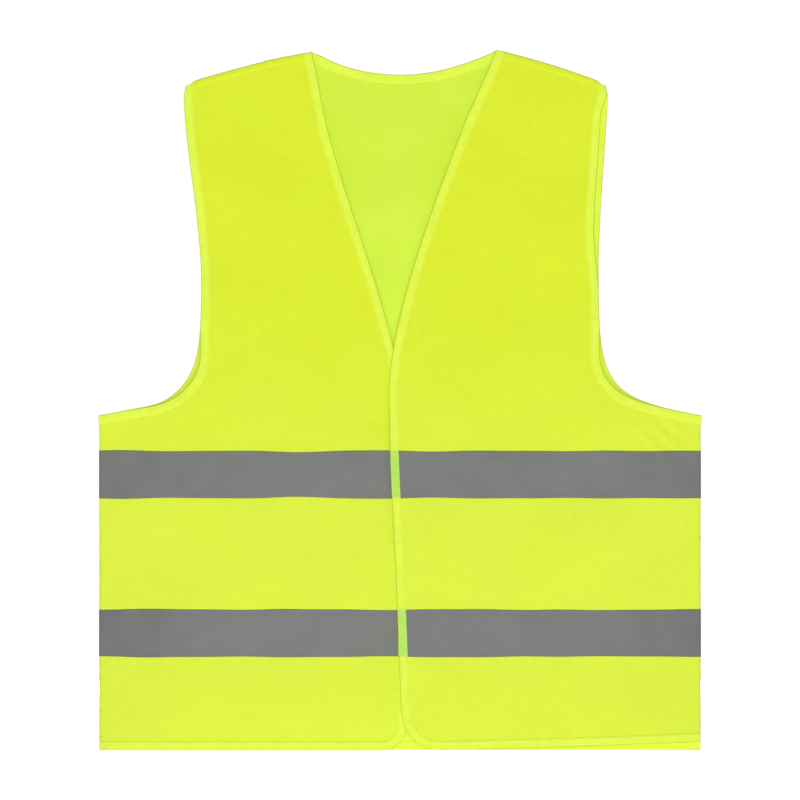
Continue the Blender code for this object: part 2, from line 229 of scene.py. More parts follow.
def front_edge(side):
    """Down the V from the apex, down the front edge and round the corner onto the hem."""
    top, foot, width = EDGE_TOP[side], EDGE_FOOT[side], CORNER_WIDTH[side]
    neck = evenly(bezier(APEX, *NECK_PULLS[side], top), EDGE_STEP)
    angle = np.linspace(0, math.pi / 2, CORNER_POINTS)
    end = hem_z(side, foot[0] + width)
    turn_x = foot[0] + width * (1 - np.cos(angle))
    turn_z = foot[1] - (foot[1] - end) * np.sin(angle)
    return joined(neck, np.array((top, foot)), stacked(turn_x, turn_z))


def front_hem(side, start_x):
    x = np.linspace(start_x, SIDE, 30)
    return stacked(x, hem_z(side, x))


def armhole(side=None):
    """Up the back's armhole from the underarm to the shoulder tip, or up a front's."""
    lower = bezier(UNDERARM, *BELOW_WAIST, WAIST)
    upper = bezier(WAIST, *ABOVE_WAIST, SHOULDER_TIP)
    points = evenly(joined(lower, upper), EDGE_STEP)
    if side is None:
        return points
    x, z = points.T
    inset = INSET * plateau(z, *INSET_HEIGHTS["low"])
    if side == LEFT:
        inset = inset + INSET * plateau(z, *INSET_HEIGHTS["high"])
    return stacked(x - inset, z)


def back_neck():
    """The back neck from the left apex round to the right one."""
    half = APEX[0]
    radius = (half**2 + BACK_NECK_DROP**2) / (2 * BACK_NECK_DROP)
    angle = math.asin(half / radius) * np.linspace(1, -1, NECK_STEPS + 1)
    sag = APEX[1] - BACK_NECK_DROP + radius * (1 - np.cos(angle))
    return stacked(radius * np.sin(angle), sag)


def mirrored(points):
    return points * (-1, 1)


def to_side(side, points):
    return points if side == LEFT else mirrored(points)


# ---- drape: where a point of the flat pattern lies in space ----

BROAD_HEIGHT = 1.1 * MM
SMALL_HEIGHT = 0.22 * MM
PUCKER_HEIGHT = 0.3 * MM
PUCKER_REACH = 7 * MM  # how far from a tape the gathers fade
CREASE_HEIGHT = 0.7 * MM
CREASE_PITCH = 15 * MM
CREASE_WAY = (0.66, 0.75)  # across the creases
CREASE_PLACE = np.array((SIDE, UNDERARM[1])) - (42 * MM, 22 * MM)
CREASE_SPREAD = (24 * MM, 15 * MM)
LAP_SLOPE = 0.033  # how the left front rises inboard of its fold to pass over the right one
LAP_ROUNDING = 10 * MM
BACK_ROUNDING = 12 * MM
EASE_LEVEL = 0.2 * FABRIC_LEVEL  # points nearer the middle plane than this follow the form less
TINY = 1e-9


def ripples(seed, count, shortest, longest):
    """Random plane waves: (x and z wave numbers, phase), seeded."""
    draw = np.random.default_rng(seed)
    number = 2 * math.pi / draw.uniform(shortest, longest, count)
    heading = draw.uniform(0, math.pi, count)
    phase = draw.uniform(0, 2 * math.pi, count)
    return stacked(number * np.cos(heading), number * np.sin(heading), phase)


def undulation(x, z, waves):
    """The sum of the waves, scaled to run from about -1 to 1."""
    total = sum(np.sin(kx * x + kz * z + phase) for kx, kz, phase in waves)
    return total / math.sqrt(2 * len(waves))


BROAD = {
    (FRONT, LEFT): ripples(11, 9, 90 * MM, 220 * MM),
    (FRONT, RIGHT): ripples(12, 9, 90 * MM, 220 * MM),
    (BACK, None): ripples(13, 9, 100 * MM, 260 * MM),
}
SMALL = ripples(21, 12, 26 * MM, 60 * MM)
PUCKER = ripples(31, 8, 11 * MM, 22 * MM) * (1, 0, 1)  # gathers that run up and down


def beside_tapes(z):
    """1 along the outside of a tape's edges, fading within a few millimetres; 0 under it."""
    found = 0
    for bottom, top in TAPES.values():
        gap = np.maximum(bottom - z, z - top)
        painted_light_colour = np.exp(-np.abs(gap) / PUCKER_REACH) * smooth(gap, 0, 2 * MM)
        found = found + np.where(gap > 0, painted_light_colour, 0)
    return found


def near(x, z, centre, spread):
    """1 at a centre, fading over a spread: both are (x, z)."""
    return np.exp(-(((x - centre[0]) / spread[0]) ** 2 + ((z - centre[1]) / spread[1]) ** 2))


def underarm_creases(x, z):
    """Short slanting creases below the left front's underarm."""
    across = CREASE_WAY[1] * (z - UNDERARM[1]) + CREASE_WAY[0] * (x - SIDE)
    place = near(x, z, CREASE_PLACE, CREASE_SPREAD)
    return CREASE_HEIGHT * place * np.sin(2 * math.pi * across / CREASE_PITCH)


def relief(x, z, layer, side):
    """How far the cloth stands off its smooth form."""
    u = np.abs(x)
    sewn = smooth(SIDE - u, 0, 30 * MM) * smooth(shoulder_gap(u, z), 0, 40 * MM)
    broad = BROAD_HEIGHT * undulation(x, z, BROAD[(layer, side if layer == FRONT else None)])
    small = SMALL_HEIGHT * undulation(x, z, SMALL)
    pucker = PUCKER_HEIGHT * undulation(x, z, PUCKER) * beside_tapes(z)
    found = sewn * (broad + small) + pucker * smooth(SIDE - u, 0, 10 * MM)
    if layer == FRONT and side == LEFT:
        found = found + underarm_creases(x, z)
    return found


def shoulder_gap(u, z):
    """The height left up to the shoulder line."""
    return APEX[1] + SHOULDER_SLOPE * (APEX[0] - u) - z


def form(x, z, layer, side):
    """The smooth form: open like a slack tube, closed along the shoulders and the sides."""
    u = side * x if layer == FRONT else np.sqrt(x * x + BACK_ROUNDING**2)
    plane = BULGE_SLOPE * np.maximum(shoulder_gap(u, z), 0)
    across = np.clip((u - fold_x(z)) / (SIDE - fold_x(z)), 0, 1)
    found = plane * (1 - across**2)
    if layer == FRONT and side == LEFT:
        inboard = fold_x(z) - u
        found = found + LAP_SLOPE * (inboard + np.sqrt(inboard**2 + LAP_ROUNDING**2)) / 2
    return found


def shoulder_shift(x, z):
    """How far points rise near the shoulders: each line arches and drops at its ends."""
    u = np.abs(x)
    share = np.clip((u - APEX[0]) / (SHOULDER_TIP[0] - APEX[0]), 0, 1)
    arch = np.where(x > 0, 2.4, 0.6) * MM * np.sin(math.pi * share)
    tip_drop = 2.2 * MM * smooth(share, 0.9, 1)
    neck_drop = np.where(x > 0, 0, 1.8) * MM * (1 - smooth(share, 0, 0.35))
    neck_drop = neck_drop * smooth(u, 85 * MM, APEX[0])
    near_shoulder = 1 - smooth(shoulder_gap(u, z), 5 * MM, 90 * MM)
    return near_shoulder * (arch - tip_drop - neck_drop)


def sideways_shift(x, z):
    """How far points move in x: the shoulders lean, the tips tuck in and the fronts bow."""
    u = np.abs(x)
    share = np.clip((u - APEX[0]) / (SHOULDER_TIP[0] - APEX[0]), 0, 1)
    tips = smooth(u, 120 * MM, 215 * MM) * smooth(z, 480 * MM, 690 * MM)
    necks = np.exp(-(((u - APEX[0]) / (24 * MM)) ** 2)) * smooth(z, 640 * MM, 730 * MM)
    tuck = 1.8 * MM * smooth(share, 0.85, 1) * (1 - smooth(shoulder_gap(u, z), 0, 10 * MM))
    bow = 1.7 * MM * near(x, z, (0, 300 * MM), (60 * MM, 80 * MM))
    return 4 * MM * necks - 4.5 * MM * tips - np.sign(x) * tuck - bow


def underarm_sag(x, z):
    """How far the right underarm hangs down."""
    return 3 * MM * near(x, z, (-250 * MM, 368 * MM), (28 * MM, 22 * MM))


def drape(flat, side, rounded):
    """Place flat points (x, distance from the middle plane, z). rounded closes the side seam."""
    x, y, z = flat.T
    level = np.abs(y)
    reach = 2 * level + TINY
    past = np.clip((np.abs(x) - (SIDE + level - FABRIC_LEVEL - reach)) / reach, 0, 1)
    closing = np.sqrt(1 - past**2) if rounded else np.ones(len(x))
    ease = np.clip(level / EASE_LEVEL, 0, 1)
    layers = np.where(y < 0, FRONT, BACK)
    halves = np.where(x < 0, RIGHT, LEFT) if side is None else np.full(len(x), side)
    placed = np.zeros(len(flat))
    for layer in (FRONT, BACK):
        for half in (LEFT, RIGHT):
            mine = (layers == layer) & (halves == half)
            px, pz = x[mine], z[mine]
            out = form(px, pz, layer, half) + relief(px, pz, layer, half)
            placed[mine] = layer * (level[mine] * closing[mine] + ease[mine] * out)
    up = shoulder_shift(x, z) - underarm_sag(x, z)
    return stacked(x + sideways_shift(x, z), MIDDLE + placed, z + up)


# ---- mesh building ----

FOLD_COLUMNS = 12
SIDE_COLUMNS = np.array((0.1, 0.4, 0.9, 1.6, 2.4)) * MM
CROWDED = 0.45 * SHEET_STEP  # a loose point as near as this to a close one is left out
RIM_GAP = 0.35 * MM  # and so is one as near as this to the rim
TURN_IN = 14 * MM  # over this length an edge piece turns to meet the next one
TURN_STATIONS = 7
TURN_SHARE = 0.6  # how far out a binding passes over an edge, as a share of its level
FOLD_MARGIN = 3 * MM
FINER = 3  # steps in place of one where a line crosses the zone that bends


def add_object(name, data):
    made = bpy.data.objects.new(name, data)
    bpy.context.scene.collection.objects.link(made)
    return made


def make_object(name, points, faces, materials, uv=None, tone=None):
    """A smooth-shaded mesh. uv holds a (u, v) in metres and tone a value for each point."""
    mesh = bpy.data.meshes.new(name)
    mesh.from_pydata(points.tolist(), [], faces)
    mesh.shade_smooth()
    if uv is not None:
        layer = mesh.uv_layers.new(name="UVMap")
        corners = np.empty(len(mesh.loops), dtype=np.int32)
        mesh.loops.foreach_get("vertex_index", corners)
        layer.data.foreach_set("uv", np.asarray(uv)[corners].astype(np.float32).ravel())
    if tone is not None:
        attribute = mesh.attributes.new("tone", "FLOAT", "POINT")
        attribute.data.foreach_set("value", np.asarray(tone, dtype=np.float32))
    for item in materials:
        mesh.materials.append(item)
    return add_object(name, mesh)


def grid_faces(rows, columns):
    starts = [i * columns + j for i in range(rows - 1) for j in range(columns - 1)]
    return [(a, a + 1, a + columns + 1, a + columns) for a in starts]


def thicken(piece, thickness, inside_material=False):
    """Give a sheet its thickness, with the second material on its inside if wanted."""
    shell = piece.modifiers.new("Thickness", "SOLIDIFY")
    shell.thickness = thickness
    shell.offset = 0
    shell.material_offset = 1 if inside_material else 0
    return piece


def inside(points, outline):
    """Which points lie inside the closed outline."""
    x, z = points[:, :1], points[:, 1:]
    ax, az = outline.T
    bx, bz = np.roll(outline, -1, axis=0).T
    spans = (az > z) != (bz > z)
    with np.errstate(divide="ignore", invalid="ignore"):
        crossing = ax + (z - az) * (bx - ax) / (bz - az)
    return (spans & (x < crossing)).sum(axis=1) % 2 == 1


def clear_of(points, others, distance):
    """Which points are further than a distance away from all the others."""
    kept = np.ones(len(points), dtype=bool)
    for part in np.array_split(others, max(len(others) // 50, 1)):
        gaps = np.linalg.norm(points[:, None] - part[None], axis=2)
        kept &= gaps.min(axis=1) > distance
    return kept


def grid_points(outline):
    """Points on a triangular grid over the outline."""
    low, high = outline.min(axis=0), outline.max(axis=0)
    rows = []
    row_step = SHEET_STEP * math.sqrt(3) / 2
    for i, z in enumerate(np.arange(low[1], high[1], row_step)):
        x = np.arange(low[0] + SHEET_STEP / 2 * (i % 2), high[0], SHEET_STEP)
        rows.append(stacked(x, z))
    return np.concatenate(rows)


def fold_points(side):
    """Closer columns of points along the fold, where a front bends when it opens."""
    z = np.arange(HEM, APEX[1], SHEET_STEP / 2)
    inboard = np.linspace(BLEND_FROM, BLEND_TO, FOLD_COLUMNS) / HINGE_AXIS.z
    return np.concatenate([stacked(side * (fold_x(z) - s), z) for s in inboard])


def side_points(side):
    """Closer columns of points where the cloth rounds over the side seam."""
    z = np.arange(HEM, UNDERARM[1], SHEET_STEP)
    columns = side * (SIDE - SIDE_COLUMNS)
    return np.concatenate([stacked(x, z) for x in columns])


def sheet(name, outline, layer, side, materials, close):
    """A panel of fabric filling an outline, draped and thickened. close holds extra points."""
    dense = round_trip(outline, EDGE_STEP)
    loose = grid_points(dense)
    loose = loose[clear_of(loose, close, CROWDED)]
    filling = np.concatenate((loose, close))
    filling = filling[inside(filling, dense)]
    filling = filling[clear_of(filling, dense, RIM_GAP)]
    count = len(dense)
    rim = [(i, (i + 1) % count) for i in range(count)]
    points = [Vector(p) for p in np.concatenate((dense, filling)).tolist()]
    flat, _, faces, *_ = delaunay_2d_cdt(points, rim, [], 1, 1e-6)
    flat = np.array(flat)
    if layer == BACK:
        faces = [face[::-1] for face in faces]
    placed = stacked(flat[:, 0], layer * FABRIC_LEVEL, flat[:, 1])
    piece = make_object(name, drape(placed, side, True), faces, materials, uv=flat)
    return thicken(piece, FABRIC_THICK, len(materials) > 1)


def strip(name, x, level, z, v, thickness, material, place, flip=False):
    """A strip over grids of x, level and z; v runs up its pattern."""
    faces = grid_faces(*x.shape)
    if flip:
        faces = [face[::-1] for face in faces]
    uv = stacked(x, v).reshape(-1, 2)
    flat = stacked(x, level, z).reshape(-1, 3)
    return thicken(make_object(name, place(flat), faces, [material], uv), thickness)


def unit(vectors):
    """The same directions with a length of 1."""
    return vectors / (np.linalg.norm(vectors, axis=-1, keepdims=True) + 1e-12)


def eased(directions, given, travelled):
    """Turn the directions gradually to a given one where travelled is 0."""
    if given is None:
        return directions
    share = smooth(travelled, 0, TURN_IN)[:, None]
    return unit(directions * share + np.array(given) * (1 - share))


def closer_at_fold(points):
    """The same line with finer steps where it crosses the zone that bends."""
    inboard = fold_x(points[:, 1]) - np.abs(points[:, 0])
    bends = (inboard > BLEND_FROM - FOLD_MARGIN) & (inboard < BLEND_TO + FOLD_MARGIN)
    dense = []
    for start, end, fine in zip(points, points[1:], bends):
        count = FINER if fine else 1
        dense.append(start + (end - start) * np.arange(count)[:, None] / count)
    return np.concatenate(dense + [points[-1:]])


def stations(points, layer, inward_side, first=None, last=None):
    """Points along an edge, with the directions into the fabric and away from the middle."""
    points = evenly(points, RING_STEP)
    if layer == FRONT:
        points = closer_at_fold(points)
    along = unit(np.gradient(points, axis=0))
    inward = inward_side * stacked(-along[:, 1], 0, along[:, 0])
    travelled = distance_along(points)
    inward = eased(inward, first, travelled)
    inward = eased(inward, last, travelled[-1] - travelled)
    outward = np.tile((0.0, layer, 0.0), (len(points), 1))
    return stacked(points[:, 0], 0, points[:, 1]), inward, outward


def turn(before, after, way):
    """Stations that carry a binding over an edge, from the end of one run to the next."""
    share = np.linspace(0, 1, TURN_STATIONS + 2)[1:-1, None]
    point = before[0][-1] * (1 - share) + after[0][0] * share
    inward = before[1][-1] * (1 - share) + after[1][0] * share
    angle = math.pi * share
    outward = before[2][-1] * np.cos(angle) + np.array(way) * np.sin(angle) * TURN_SHARE
    return point, inward, outward


def chain(*runs):
    """Runs of stations as one."""
    return tuple(np.concatenate(parts) for parts in zip(*runs))


def down_shoulder(side):
    return unit(np.array((side, 0, -SHOULDER_SLOPE)))


def over_tape(z):
    """1 where a height lies on a tape, with soft ends."""
    found = 0
    for bottom, top in TAPES.values():
        found = found + plateau(z, bottom - MM, bottom + MM, top - MM, top + MM)
    return found


def binding_profile():
    """(into the fabric, away from its middle) round the folded binding's section."""
    near, far = BINDING_INNER, BINDING_INNER + BINDING_WALL
    across = np.linspace(BINDING_LEG, 0.6 * MM, 9)
    first, second = BINDING_ROWS
    rows = np.cos(2 * math.pi * (across - first) / (second - first))
    outer = stacked(across, far - ROW_DIP * rows)
    under = stacked(across, near)
    angle = np.linspace(math.pi / 2 - 0.5, -math.pi / 2 + 0.5, 5)
    round_edge = stacked(0.1 * MM - BINDING_EDGE * np.cos(angle), far * np.sin(angle))
    lower, over = outer[::-1] * (1, -1), under * (1, -1)
    return np.concatenate((outer, round_edge, lower, over, [(0, 0)], under[::-1]))


def ring_faces(rings, size, closed=False, start=0):
    """The faces of a tube of rings with size points each, capped unless it is closed."""
    faces = []
    for i in range(rings if closed else rings - 1):
        ring, following = start + i * size, start + (i + 1) % rings * size
        for k in range(size):
            m = (k + 1) % size
            faces.append((ring + k, ring + m, following + m, following + k))
    if not closed:
        last = start + (rings - 1) * size
        faces.append(tuple(range(start, start + size))[::-1])
        faces.append(tuple(range(last, last + size)))
    return faces


def sweep(name, path, profile, side, material, closed=False, tapes=False, cloth=False):
    """Sweep a closed section along stations and drape it.

    u runs along a binding and v across it; cloth keeps the pattern of the panels instead, and
    its section is measured from the middle plane.
    """
    point, inward, outward = path
    rings, size = len(point), len(profile)
    across, level = profile.T
    covers = over_tape(point[:, 2]) if tapes else np.zeros(rings)
    base = 0 if cloth else FABRIC_LEVEL
    levels = base + level[None] + BINDING_LIFT * covers[:, None] * (level[None] > 0)
    flat = point[:, None] + inward[:, None] * across[None, :, None]
    flat = (flat + outward[:, None] * levels[:, :, None]).reshape(-1, 3)
    uv = stacked(np.repeat(distance_along(point), size), np.tile(across, rings))
    if cloth:
        uv = flat[:, ::2]
    faces = ring_faces(rings, size, closed)
    tone = np.repeat(covers, size)
    piece = make_object(name, drape(flat, side, False), faces, [material], uv, tone)
    face_outwards(piece)
    return piece


def face_outwards(piece):
    bm = bmesh.new()
    bm.from_mesh(piece.data)
    bmesh.ops.recalc_face_normals(bm, faces=bm.faces[:])
    bm.to_mesh(piece.data)
    bm.free()


# ---- thread ----

TUBE_SIDES = 5


def tubes(centres, facing, radii):
    """Thin tubes as ring points. centres is (count, sections, 3); facing is (count, 3)."""
    along = unit(np.gradient(centres, axis=1))
    sideways = unit(np.cross(along, np.repeat(facing[:, None], centres.shape[1], axis=1)))
    up = np.cross(sideways, along)
    angle = np.arange(TUBE_SIDES) * 2 * math.pi / TUBE_SIDES
    ring = sideways[:, :, None] * np.cos(angle)[:, None] + up[:, :, None] * np.sin(angle)[:, None]
    return centres[:, :, None] + ring * np.asarray(radii)[None, :, None, None]


STITCH_SHARES = np.array((0, 0.2, 0.8, 1))
STITCH_SUNK = np.array((0.5, -0.3, -0.3, 0.5))  # its ends dip into the cloth, in thread radii
STITCH_RADII = np.array((0.45, 1, 1, 0.45)) * THREAD


def stitch_row(points, outward, pitch=STITCH_PITCH, length=STITCH_LENGTH):
    """Stitches along a flat line: ring points of shape (stitches, sections, sides, 3)."""
    travelled = distance_along(points)
    starts = np.arange(0.3 * pitch, travelled[-1] - length, pitch)
    at = starts[:, None] + STITCH_SHARES * length
    centres = np.stack([np.interp(at, travelled, axis) for axis in points.T], axis=2)
    facing = np.stack([np.interp(starts, travelled, axis) for axis in outward.T], axis=1)
    centres -= facing[:, None] * STITCH_SUNK[None, :, None] * THREAD
    return tubes(centres, facing, STITCH_RADII)


def thread_object(name, rows, material, place):
    """All the tubes of some rows as one object, each point put in its place."""
    all_tubes = np.concatenate(rows)
    count, sections = all_tubes.shape[:2]
    faces = []
    for i in range(count):
        faces += ring_faces(sections, TUBE_SIDES, start=i * sections * TUBE_SIDES)
    return make_object(name, place(all_tubes.reshape(-1, 3)), faces, [material])


def draped(side, rounded=False):
    """The place of points on draped cloth."""
    return lambda flat: drape(flat, side, rounded)


def clinging(side):
    """Points that stand off a front's cloth by their own depth, on either face of it."""

    def place(flat):
        on_cloth = flat.copy()
        on_cloth[:, 1] = FRONT * FABRIC_LEVEL
        placed = drape(on_cloth, side, False)
        placed[:, 1] += flat[:, 1] - FRONT * FABRIC_LEVEL
        return placed

    return place


def upright(flat):
    """Flat points that hang straight, without drape."""
    return flat + (0, MIDDLE, 0)


def binding_rows(path, tapes=False):
    """The rows of stitches through a binding, seen on both of its faces."""
    point, inward, outward = path
    face = BINDING_INNER + BINDING_WALL
    lift = BINDING_LIFT * over_tape(point[:, 2])[:, None] if tapes else 0
    rows = []
    for across in BINDING_ROWS:
        middle = point + inward * across
        rows.append(stitch_row(middle + outward * (FABRIC_LEVEL + face + lift), outward))
        rows.append(stitch_row(middle + outward * (FABRIC_LEVEL - face), -outward))
    return rows


def level_row(x_from, x_to, z, layer, level, outward):
    """A row of stitches across a panel at one height."""
    x = np.linspace(x_from, x_to, int(abs(x_to - x_from) / RING_STEP) + 2)
    points = stacked(x, layer * level, z)
    facing = np.tile((0.0, outward, 0.0), (len(x), 1))
    return stitch_row(points, facing)


# ---- tapes ----

TAPE_HALF = np.array((0, 0.35, 1.0, 2.6, 3.5, 4.0, 4.5, 6, 9, 13, 19)) / 50  # rows, as shares of the width
TAPE_REACH = SIDE + TAPE_LEVEL - FABRIC_LEVEL  # where it wraps the side seam
TAPE_ROUNDING = np.array((0, 0.15, 0.5, 1.0, 1.7, 2.5, 3.4)) * MM  # columns back from there
TAPE_MARGIN = 2 * MM  # on both sides of the zone that bends
INNER_COLUMNS, BENDING_COLUMNS, OUTER_COLUMNS = 60, 20, 45
TAPE_WAVE = 0.8 * MM  # how far its edges wander
TAPE_GROOVE = 0.1 * MM  # how far a row of stitches, or a cut edge, is pulled in


def front_edge_x(side, z):
    """Where the straight part of a front edge stands at height z."""
    top, foot = EDGE_TOP[side], EDGE_FOOT[side]
    return foot[0] + (top[0] - foot[0]) * (z - foot[1]) / (top[1] - foot[1])


def tape_rows(width):
    """How far up the tape the mesh has its rows, closer at the edges and the stitches."""
    return np.concatenate((TAPE_HALF, 1 - TAPE_HALF[::-1])) * width


def between(low, high, count):
    """Evenly spaced values from low up to, but not including, high, for each row."""
    return low[:, None] + (high - low)[:, None] * np.arange(count)[None] / count


def tape_columns(z, layer, side):
    """x of the mesh's columns at each height, closer at the fold and round the side seam."""
    ends = np.tile((TAPE_REACH - TAPE_ROUNDING)[::-1], (len(z), 1))
    if layer == BACK:
        middle = np.arange(-TAPE_REACH + 5 * MM, TAPE_REACH - 5 * MM, 2 * MM)
        return np.concatenate((-ends[:, ::-1], np.tile(middle, (len(z), 1)), ends), axis=1)
    start = front_edge_x(side, z) + 0.5 * MM
    bend_from = fold_x(z) - BLEND_TO - TAPE_MARGIN
    bend_to = fold_x(z) - BLEND_FROM + TAPE_MARGIN
    inner = between(start, bend_from, INNER_COLUMNS)
    bending = between(bend_from, bend_to, BENDING_COLUMNS)
    outer = between(bend_to, ends[:, 0] - TAPE_MARGIN, OUTER_COLUMNS)
    return side * np.concatenate((inner, bending, outer, ends), axis=1)


def tape(name, height, layer, side, material):
    """A strip of tape across one front, or right across the back, with stitched-down edges."""
    bottom, top = TAPES[height]
    rows = tape_rows(top - bottom)
    x = tape_columns(bottom + rows, layer, side)
    up = np.repeat(rows[:, None], x.shape[1], axis=1)
    wave = TAPE_WAVE * undulation(x, np.full(x.shape, bottom), BROAD[(BACK, None)] * (2, 1, 1))
    z = bottom + up + wave * (up / rows[-1] * 2 - 1) ** 3
    from_edge = np.minimum(up, up[::-1])
    sunk = np.exp(-(((from_edge - TAPE_ROW) / (0.6 * MM)) ** 2)) + np.exp(-from_edge / (0.4 * MM))
    level = layer * (TAPE_LEVEL - TAPE_GROOVE * sunk)
    flip = (layer == BACK) != (side == RIGHT)
    return strip(name, x, level, z, up, TAPE_THICK, material, draped(side, True), flip)


def tape_stitching(layer, side):
    """The rows along both edges of each tape, on the outside and on the inside."""
    rows = []
    outer = TAPE_LEVEL + TAPE_THICK / 2 - 0.08 * MM
    end = SIDE - 4 * MM
    for bottom, top in TAPES.values():
        for z in (bottom + TAPE_ROW, top - TAPE_ROW):
            ends = (-end, end)
            if layer == FRONT:
                ends = (side * (front_edge_x(side, z) + BINDING_LEG), side * end)
            rows.append(level_row(*ends, z, layer, outer, layer))
            rows.append(level_row(*ends, z, layer, FABRIC_LEVEL - FABRIC_THICK / 2, -layer))
    return rows


# ---- node helpers ----


def feed(tree, node, inputs):
    """Set a node's inputs: each value is a plain one or another node's output."""
    for key, value in inputs.items():
        if isinstance(value, bpy.types.NodeSocket):
            tree.links.new(value, node.inputs[key])
        else:
            node.inputs[key].default_value = value


def add_node(tree, kind, inputs=None, **settings):
    made = tree.nodes.new(kind)
    for key, value in settings.items():
        setattr(made, key, value)
    feed(tree, made, inputs or {})
    return made


def calc(tree, operation, a, b=0.0, clamp=False):
    made = add_node(tree, "ShaderNodeMath", {0: a, 1: b}, operation=operation, use_clamp=clamp)
    return made.outputs[0]


def times(tree, a, b):
    return calc(tree, "MULTIPLY", a, b)


def plus(tree, a, b):
    return calc(tree, "ADD", a, b)


def weighed(tree, first, share, second):
    """A share of the first and the rest of the second."""
    return plus(tree, times(tree, first, share), times(tree, second, 1 - share))


def ramp(tree, value, low, high):
    """0 at low and 1 at high, clamped and smooth."""
    inputs = {"Value": value, "From Min": low, "From Max": high}
    made = add_node(tree, "ShaderNodeMapRange", inputs, interpolation_type="SMOOTHSTEP")
    return made.outputs["Result"]


def mix(tree, share, *colours):
    """From the first colour, where share is 0, to the second."""
    first, second = ((*c, 1) if isinstance(c, tuple) else c for c in colours)
    inputs = {0: share, 6: first, 7: second}
    return add_node(tree, "ShaderNodeMix", inputs, data_type="RGBA").outputs[2]


def noise(tree, vector, size, detail=2.0):
    """Noise whose blobs are about a size across, for a vector in metres."""
    inputs = {"Vector": vector, "Scale": 1 / size, "Detail": detail}
    return add_node(tree, "ShaderNodeTexNoise", inputs).outputs["Fac"]


def stripes(tree, value, period):
    """A cosine along value: 1 on the crests and 0 in the grooves."""
    turns = times(tree, value, 2 * math.pi / period)
    return plus(tree, times(tree, calc(tree, "COSINE", turns), 0.5), 0.5)


def new_material(name):
    """An empty material, its node tree and its Principled shader."""
    made = bpy.data.materials.new(name)
    made.use_nodes = True
    return made, made.node_tree, made.node_tree.nodes["Principled BSDF"]


def pattern(tree):
    """The place in the flat pattern, in metres: as a vector, u and v."""
    vector = add_node(tree, "ShaderNodeUVMap", uv_map="UVMap").outputs["UV"]
    split = add_node(tree, "ShaderNodeSeparateXYZ", {0: vector})
    return vector, split.outputs["X"], split.outputs["Y"]


def finish_material(tree, shader, colour, height, depth, roughness, sheen=0.0, painted_glow=0.0):
    """Connect colour, bump and roughness; the glow is painted light: an emission that stands in for the
    fluorescent dye and lifts the shade.
    """
    bump = add_node(tree, "ShaderNodeBump", {"Height": height, "Distance": depth, "Strength": 1.0})
    inputs = {
        "Normal": bump.outputs["Normal"],
        "Base Color": colour,
        "Roughness": roughness,
        "Specular IOR Level": CLOTH_SPECULAR,
        "Sheen Weight": sheen,
        "Sheen Roughness": SHEEN_ROUGHNESS,
    }
    if painted_glow:
        inputs.update({"Emission Color": colour, "Emission Strength": painted_glow})
    feed(tree, shader, inputs)


# ---- materials ----

CLOTH_SPECULAR = 0.25
SHEEN_ROUGHNESS = 0.5
WALE = 1.6 * MM  # one vertical rib of the knit
COURSE = 1.15 * MM  # one row of loops
# The glow is painted light: an emission that stands in for the fluorescent dye and flattens the shading of
# the cloth.
PAINTED_GLOW = 0.12
# Each side of the cloth: its colour, its painted-light colour lower down, the shade in its
# grooves, the heights where that painted light starts and ends, and the painted glow.
OUTSIDE_COLOURS = ((0.675, 0.785, 0.024), (0.677, 0.812, 0.053), (0.54, 0.67, 0.01))
OUTSIDE_LOOK = (*OUTSIDE_COLOURS, (540 * MM, 200 * MM), PAINTED_GLOW)
# The inside is a darker, greener copy of the same knit: painted shade. Its lighter band lower down and its
# strong glow of 0.45 are painted light that lifts it behind the fronts.
SHADED_LINING_COLOURS = ((0.465, 0.61, 0.039), (0.56, 0.7, 0.07), (0.4, 0.54, 0.015))
SHADED_LINING_LOOK = (*SHADED_LINING_COLOURS, (640 * MM, 400 * MM), 0.45)
THREAD_COLOUR = (0.72, 0.88, 0.10)
GREY_THREAD_COLOUR = (0.27, 0.29, 0.2)
HOOK_COLOUR = (0.66, 0.8, 0.06)
LOOP_COLOUR = (0.7, 0.84, 0.07)
WEFT, WARP = 0.8 * MM, 0.7 * MM  # the pitches of the binding's weave
BEAD = 0.22 * MM
TAPE_WEAVE = 0.55 * MM
LABEL_WARP = 0.35 * MM


def knit_material(name, colour, painted_light_colour, shade, painted_light_band, painted_glow):
    """Warp knit: vertical ribs built of slanting loops, with pinholes between them.

    The colour turns lighter towards the bottom over a band of heights: painted light. The glow
    is painted light too: an emission that stands in for the fluorescent dye and lifts the shade,
    and for the inside also for the light that comes through the thin cloth.
    """
    made, tree, shader = new_material(name)
    vector, u, v = pattern(tree)
    rib = stripes(tree, u, WALE)
    slant = plus(tree, v, times(tree, calc(tree, "PINGPONG", u, WALE / 2), 0.9))
    loop = stripes(tree, slant, COURSE)
    height = weighed(tree, rib, 0.6, loop)
    pinhole = times(tree, ramp(tree, rib, 0.25, 0.0), ramp(tree, loop, 0.4, 0.05))
    cloud = noise(tree, vector, 60 * MM, 3.0)
    worn = times(tree, calc(tree, "SUBTRACT", cloud, 0.5), 0.9)
    # Painted light: the cloth turns lighter lower down, and the random worn cloud shifts where.
    painted_light_and_worn_share = calc(tree, "ADD", ramp(tree, v, *painted_light_band), worn, clamp=True)
    base = mix(tree, painted_light_and_worn_share, colour, painted_light_colour)
    patchy = ramp(tree, noise(tree, vector, 7 * MM, 3.0), 0.3, 0.7)
    grooves = times(tree, ramp(tree, height, 0.75, 0.1), patchy)
    base = mix(tree, times(tree, grooves, 0.3), base, shade)
    base = mix(tree, times(tree, pinhole, 0.4), base, shade)
    height = plus(tree, height, times(tree, noise(tree, vector, 0.5 * MM), 0.35))
    finish_material(tree, shader, base, height, 0.16 * MM, 0.85, sheen=0.12, painted_glow=painted_glow)
    return made


